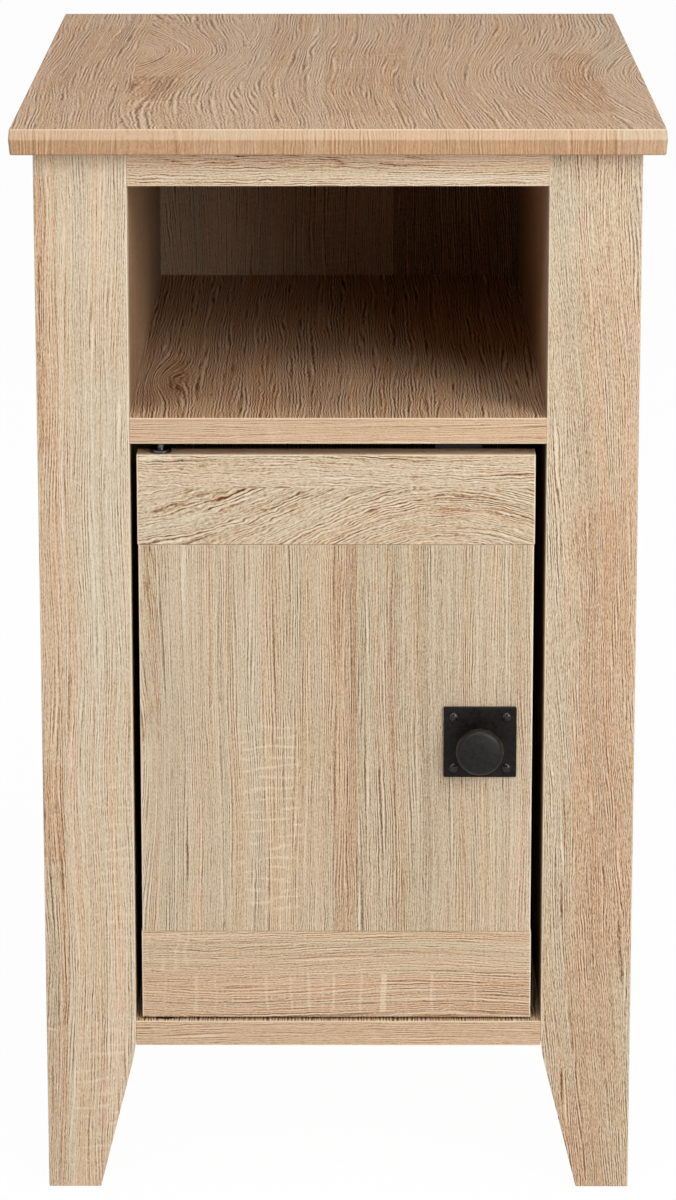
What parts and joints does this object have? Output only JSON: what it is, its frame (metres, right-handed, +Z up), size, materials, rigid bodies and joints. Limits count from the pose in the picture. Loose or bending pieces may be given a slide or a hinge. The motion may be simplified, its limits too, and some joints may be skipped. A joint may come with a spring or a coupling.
{
  "type": "storage side table",
  "caption": "Narrow oak-look side table with an open cubby over a compartment closed by a pivot-hung door, on tapered legs.",
  "frame": {"origin": "on the floor, under the middle of the whole outline, knob included", "axes": "+X to the right seen from the front, +Y from the front to the back, +Z up; the door faces -Y"},
  "size_m": [0.388, 0.5166, 0.6705],
  "materials": {
    "oak_board": "washed light oak print with a matte top coat, on chipboard",
    "beech_dowel": "plain beech",
    "zinc_casting": "die-cast zinc",
    "plated_steel": "zinc plated",
    "blackened_steel": "black, slightly glossy",
    "black_powder_coat": "matte black powder coat with a fine grain",
    "black_plastic": "moulded, matte",
    "ferrite": "sintered ferrite"
  },
  "bodies": {
    "cabinet": {"back_panel": "oak_board", "back_panel_nails": "plated_steel", "base_shelf": "oak_board", "cam_bolts": "plated_steel", "cam_locks": "zinc_casting", "door_catch_housing": "black_plastic", "door_catch_magnet": "ferrite", "door_catch_screws": "plated_steel", "front_rail": "oak_board", "left_front_leg": "oak_board", "left_front_leg_return": "oak_board", "left_rear_leg": "oak_board", "left_rear_leg_return": "oak_board", "left_side_panel": "oak_board", "left_side_rail": "oak_board", "leg_dowels": "beech_dowel", "lower_pivot_socket": "black_plastic", "middle_shelf": "oak_board", "rail_dowels": "beech_dowel", "rear_rail": "oak_board", "right_front_leg": "oak_board", "right_front_leg_return": "oak_board", "right_rear_leg": "oak_board", "right_rear_leg_return": "oak_board", "right_side_panel": "oak_board", "right_side_rail": "oak_board", "top_board": "oak_board", "upper_pivot_socket": "black_plastic"},
    "door": {"backplate_screws": "black_powder_coat", "door_bottom_rail": "oak_board", "door_dowels": "beech_dowel", "door_panel": "oak_board", "door_top_rail": "oak_board", "knob": "black_powder_coat", "knob_backplate": "black_powder_coat", "knob_screw": "plated_steel", "lower_pivot_pin": "blackened_steel", "strike_plate": "plated_steel", "strike_screw": "plated_steel", "upper_pivot_pin": "blackened_steel"}
  },
  "joints": [
    {"name": "door_pivot", "type": "hinge", "parent": "cabinet", "child": "door", "pos_m": [-0.107, -0.22535, 0.1095], "axis": [0, 0, -1], "range_deg": [0, 110]}
  ]
}
